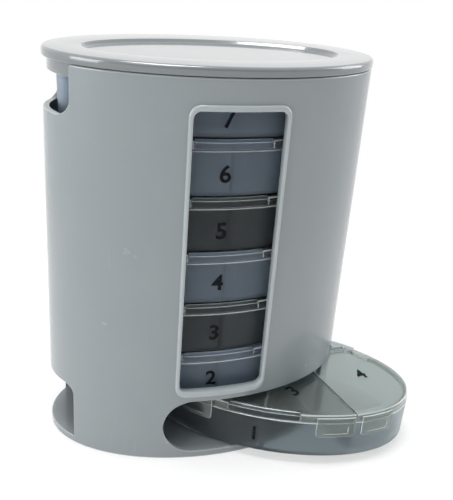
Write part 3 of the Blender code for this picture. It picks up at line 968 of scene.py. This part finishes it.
def makeTab(side, hinge, s):
    # the latch tab bent round the rim, on a root that ties it to the lid's skirt
    near = traySizes["bodyInset"] - traySizes["gap"]
    far = near - s["tabThickness"]
    start, end = sorted(-math.acos(side * share) for share in hinge["tab"])

    def onRim(angle, inset):
        return Vector(((traySizes["halfLength"] - inset) * math.cos(angle),
                       (traySizes["halfDepth"] - inset) * math.sin(angle)))

    spots = [onRim(start + (end - start) * step / s["tabSteps"], far) for step in range(s["tabSteps"] + 1)]
    length = sum((after - before).length for before, after in zip(spots, spots[1:]))
    shape = flatTab(length, near, far, s)
    for point in shape.verts:
        along, height, out = point.co
        point.co = (*onRim(start + (end - start) * along / length, -out), height)
    tab = fromShape("tab", shape)
    first, last = hinge["tab"]
    trim = (last - first) * s["rootTrim"]
    root = rimBand("tabRoot", side, (first + trim, last - trim), traySizes["skirt"] * s["rootInnerShare"],
                   near - s["tabThickness"] * s["rootOuterShare"], bandBase + s["rootStep"],
                   trayHeight - s["tabTopStep"] - s["rootStep"])
    return combine(tab, [root], "UNION")


def makeLid(dose, s):
    t = traySizes
    side, outer = doses[dose]["side"], doses[dose]["outer"]
    hinge = hingeOf(side, outer)
    plateLow = trayHeight - t["plate"]
    cap = ovalTurn("lidCap", (t["halfLength"], t["halfDepth"]), roundedProfile([
        (t["skirt"] * 3, plateLow, 0),
        (t["skirt"], plateLow, s["ceilingRound"]),
        (t["skirt"], bandBase, s["skirtRound"]),
        (t["bandInset"], bandBase, s["footRound"]),
        (t["bandInset"], trayHeight - s["marginDrop"], s["edgeRound"]),
        (s["marginWidth"], trayHeight, s["marginRound"]),
        (s["marginWidth"] * 2, trayHeight, 0),
    ], steps=5), s["segments"])
    region = sector(trayOutline(-overrun), side, outer, t["lidGap"] / 2, t["lidGap"] / 2)
    edge = hinge["place"] + hinge["intoLid"] * t["hingeToLid"]
    region = clip(region, edge, hinge["intoLid"])
    lid = combine(cap, [prism("lidRegion", region, bandBase - overrun, trayHeight + overrun)], "INTERSECT")
    if not outer:
        reach = t["frontRimShare"] + t["gap"] / t["halfLength"]
        room = rimBand("rimRoom", 1, (reach, -reach), -overrun, t["frontRim"] + t["gap"],
                       bandBase - overrun, trayHeight + overrun, steps=33)
        lid = combine(lid, [room], "DIFFERENCE")
    half = hinge["halfLength"] - t["pinClearance"]
    middle = t["hingeRadius"] - t["plate"] / 2
    arm = hingeBox("arm", hinge, -half, half, 0, t["hingeToLid"] + t["skirt"], middle - t["arm"] / 2,
                   middle + t["arm"] / 2)
    lid = combine(lid, [arm, makeTab(side, hinge, s), makeBarrel(hinge)], "UNION")
    # every rounded edge of the lid gets the paler plastic: a painted highlight
    return softened(lid, s["cutRound"])


# Plain numbers, printed on the tray fronts and on the lids

numberSizes = {
    "trayHeight": 6.0 * mm,
    "trayCentre": 8.3 * mm,
    "printedLow": {"sun": 1.9 * mm, "sat": 0.3 * mm, "fri": 0.5 * mm, "tue": -0.7 * mm},  # below the centre
    "trayShift": -2.9 * mm,
    "lidHeight": 6.0 * mm,
    "ink": 0.03 * mm,
    "weight": 0.16 * mm,
    "fontToHeight": 1.4,
    "lidPlaces": {
        False: (9.4 * mm, -15.8 * mm, math.radians(50)),
        True: (35.4 * mm, 4.4 * mm, math.radians(42)),
    },
}


def makeDigit(text, height):
    curve = bpy.data.curves.new("digit", "FONT")
    curve.body = text
    curve.size = height * numberSizes["fontToHeight"]
    curve.align_x = "CENTER"
    curve.align_y = "CENTER"
    curve.offset = numberSizes["weight"]
    curve.extrude = numberSizes["ink"]
    guide = helper("digit", curve)
    mesh = freshMesh(guide)
    bpy.data.objects.remove(guide)
    shape = opened(mesh)
    bmesh.ops.remove_doubles(shape, verts=shape.verts, dist=hair)
    bmesh.ops.recalc_face_normals(shape, faces=shape.faces)
    return closed(shape, mesh)


def printOnFront(mesh, lower):
    # stands a digit up and bends it onto the tray's curved front
    inset = traySizes["bodyInset"]
    for point in mesh.vertices:
        across, up, out = point.co
        x = across + numberSizes["trayShift"]
        bow = math.sqrt(1 - (x / (traySizes["halfLength"] - inset)) ** 2)
        depth = (traySizes["halfDepth"] - inset) * bow
        point.co = (x, -depth - out, numberSizes["trayCentre"] - lower + up)
    return mesh


def printOnLid(mesh, dose):
    side, outer = doses[dose]["side"], doses[dose]["outer"]
    x, y, turn = numberSizes["lidPlaces"][outer]
    mesh.transform(Matrix.Translation((side * x, y, trayHeight + numberSizes["ink"]))
                   @ Matrix.Rotation(side * turn, 4, "Z"))
    return mesh


trayMesh = makeTray(traySizes)
print("tray ready", len(trayMesh.polygons))
lidMeshes = {dose: makeLid(dose, lidSizes) for dose in doses}
print("lids ready", {dose: len(mesh.polygons) for dose, mesh in lidMeshes.items()})
lidDigits = {dose: printOnLid(makeDigit(doses[dose]["digit"], numberSizes["lidHeight"]), dose)
             for dose in doses}

drawnTray = {"place": (30.0 * mm, -14.1 * mm), "turn": math.radians(-27.7)}

for level, day in enumerate(daysFromBottom):
    base = trayLow + (level - 1) * trayPitch
    place = Matrix.Translation((0, 0, base))
    if level == 0:
        place = Matrix.Translation((*drawnTray["place"], base)) @ Matrix.Rotation(drawnTray["turn"], 4, "Z")
    bodyLook = [smokePlastic, smokePaintedHighlight] if day in smokyDays else [clearPlastic, clearPaintedHighlight]
    lidLook = [smokeLidPlastic, smokePaintedHighlight] if day in smokyDays else [clearLidPlastic, clearPaintedHighlight]
    tray = day + "_tray"
    finish(day + "TrayBody", trayMesh, bodyLook, tray, tray, place)
    lower = numberSizes["printedLow"].get(day, 0.0)
    number = printOnFront(makeDigit(str(level + 1), numberSizes["trayHeight"]), lower)
    finish(day + "TrayNumber", number, [printedInk], tray, None, place)
    for dose in doses:
        lid = day + "_" + dose + "_lid"
        finish(day + dose.capitalize() + "Lid", lidMeshes[dose], lidLook, lid, lid, place)
        finish(day + dose.capitalize() + "Number", lidDigits[dose], [printedInk], lid, None, place)
print("trays ready")


# Floor, light and camera

studio = {
    "floorSize": 4.0,
    "floorColour": (0.90, 0.90, 0.90),
    "floorGlow": 0.5,
    "shadowReach": (0.09, 0.30),  # how far out the floor starts and ends turning white
    "roomLight": 0.15,
    "backdropLight": 0.90,
    "backdropReach": (-0.9, 0.3),
    "lamps": [
        {"name": "leftLamp", "place": (-0.92, -0.28, 0.34), "width": 0.5, "height": 0.6, "power": 4.3},
        {"name": "rightLamp", "place": (0.85, -0.05, 0.40), "width": 0.4, "height": 0.6, "power": 2.6},
        {"name": "topLamp", "place": (-0.10, -0.10, 0.95), "width": 0.35, "height": 0.35, "power": 5.2},
        {"name": "frontLamp", "place": (-0.35, -0.62, 0.80), "width": 0.36, "height": 0.14, "power": 0.6},
    ],
}


def makeFloor(s):
    shape = bmesh.new()
    bmesh.ops.create_grid(shape, x_segments=1, y_segments=1, size=s["floorSize"])
    floor = fromShape("floor", shape)
    material = bpy.data.materials.new("paleFloor")
    material.use_nodes = True
    tree = material.node_tree
    tree.nodes.clear()
    matte = addNode(tree, "ShaderNodeBsdfDiffuse", {"Color": (*s["floorColour"], 1)})
    glow = addNode(tree, "ShaderNodeEmission", {"Color": (1, 1, 1, 1), "Strength": 1.0})
    rays = tree.nodes.new("ShaderNodeLightPath").outputs
    seen = mathNode(tree, "MAXIMUM", rays["Is Camera Ray"], rays["Is Glossy Ray"])
    seen = mathNode(tree, "MAXIMUM", seen, rays["Is Transmission Ray"])
    place = tree.nodes.new("ShaderNodeTexCoord").outputs["Object"]
    spread = addNode(tree, "ShaderNodeVectorMath", {0: place}, operation="LENGTH")
    away = ramp(tree, spread.outputs["Value"], *s["shadowReach"])
    share = mathNode(tree, "MULTIPLY", seen, mathNode(tree, "MAXIMUM", away, s["floorGlow"]))
    mix = addNode(tree, "ShaderNodeMixShader", {0: share, 1: matte.outputs[0], 2: glow.outputs[0]})
    addNode(tree, "ShaderNodeOutputMaterial", {"Surface": mix.outputs[0]})
    floor.data.materials.append(material)


def makeWorld(s):
    world = bpy.data.worlds.new("studio")
    bpy.context.scene.world = world
    world.use_nodes = True
    tree = world.node_tree
    background = tree.nodes["Background"]
    background.inputs["Color"].default_value = (1, 1, 1, 1)
    direction = addNode(tree, "ShaderNodeSeparateXYZ", {
        "Vector": tree.nodes.new("ShaderNodeTexCoord").outputs["Generated"]})
    behind = ramp(tree, direction.outputs["Y"], *s["backdropReach"])
    span = s["backdropLight"] - s["roomLight"]
    light = mathNode(tree, "ADD", mathNode(tree, "MULTIPLY", behind, span), s["roomLight"])
    rays = tree.nodes.new("ShaderNodeLightPath").outputs
    seen = mathNode(tree, "MAXIMUM", rays["Is Camera Ray"], rays["Is Transmission Ray"])
    seen = mathNode(tree, "MAXIMUM", seen, mathNode(tree, "MULTIPLY", rays["Is Glossy Ray"], behind))
    missing = mathNode(tree, "SUBTRACT", 1.0, light)
    strength = mathNode(tree, "ADD", light, mathNode(tree, "MULTIPLY", seen, missing))
    tree.links.new(strength, background.inputs["Strength"])


def makeLamp(lamp, target):
    data = bpy.data.lights.new(lamp["name"], "AREA")
    data.shape = "RECTANGLE"
    data.size = lamp["width"]
    data.size_y = lamp["height"]
    data.energy = lamp["power"]
    made = helper(lamp["name"], data)
    made.location = lamp["place"]
    made.rotation_euler = (Vector(target) - Vector(lamp["place"])).to_track_quat("-Z", "Y").to_euler()


photoView = {
    "turn": -0.290,
    "distance": 260.93 * mm,
    "height": 184.74 * mm,
    "target": (9.975 * mm, 0, 70.67 * mm),
    "roll": 0.0771,
    "focalPixels": 726.13,
    "frameWidth": 453,
    "sensorWidth": 36.0,
    "clipStart": 0.01,
}


def makeCamera(v):
    data = bpy.data.cameras.new("photoCamera")
    data.sensor_fit = "HORIZONTAL"
    data.sensor_width = v["sensorWidth"]
    data.lens = v["focalPixels"] * v["sensorWidth"] / v["frameWidth"]
    data.clip_start = v["clipStart"]
    camera = helper("photoCamera", data)
    place = Vector((v["distance"] * math.sin(v["turn"]), -v["distance"] * math.cos(v["turn"]), v["height"]))
    ahead = (Vector(v["target"]) - place).normalized()
    right = ahead.cross(Vector((0, 0, 1))).normalized()
    up = right.cross(ahead)
    rolledRight = right * math.cos(v["roll"]) + up * math.sin(v["roll"])
    rolledUp = up * math.cos(v["roll"]) - right * math.sin(v["roll"])
    axes = Matrix((rolledRight, rolledUp, -ahead)).transposed().to_4x4()
    camera.matrix_world = Matrix.Translation(place) @ axes
    bpy.context.scene.camera = camera


makeFloor(studio)
makeWorld(studio)
for lamp in studio["lamps"]:
    makeLamp(lamp, (0, 0, rimHeight / 2))
makeCamera(photoView)
bpy.context.scene.view_settings.view_transform = "Standard"

print("scene ready")
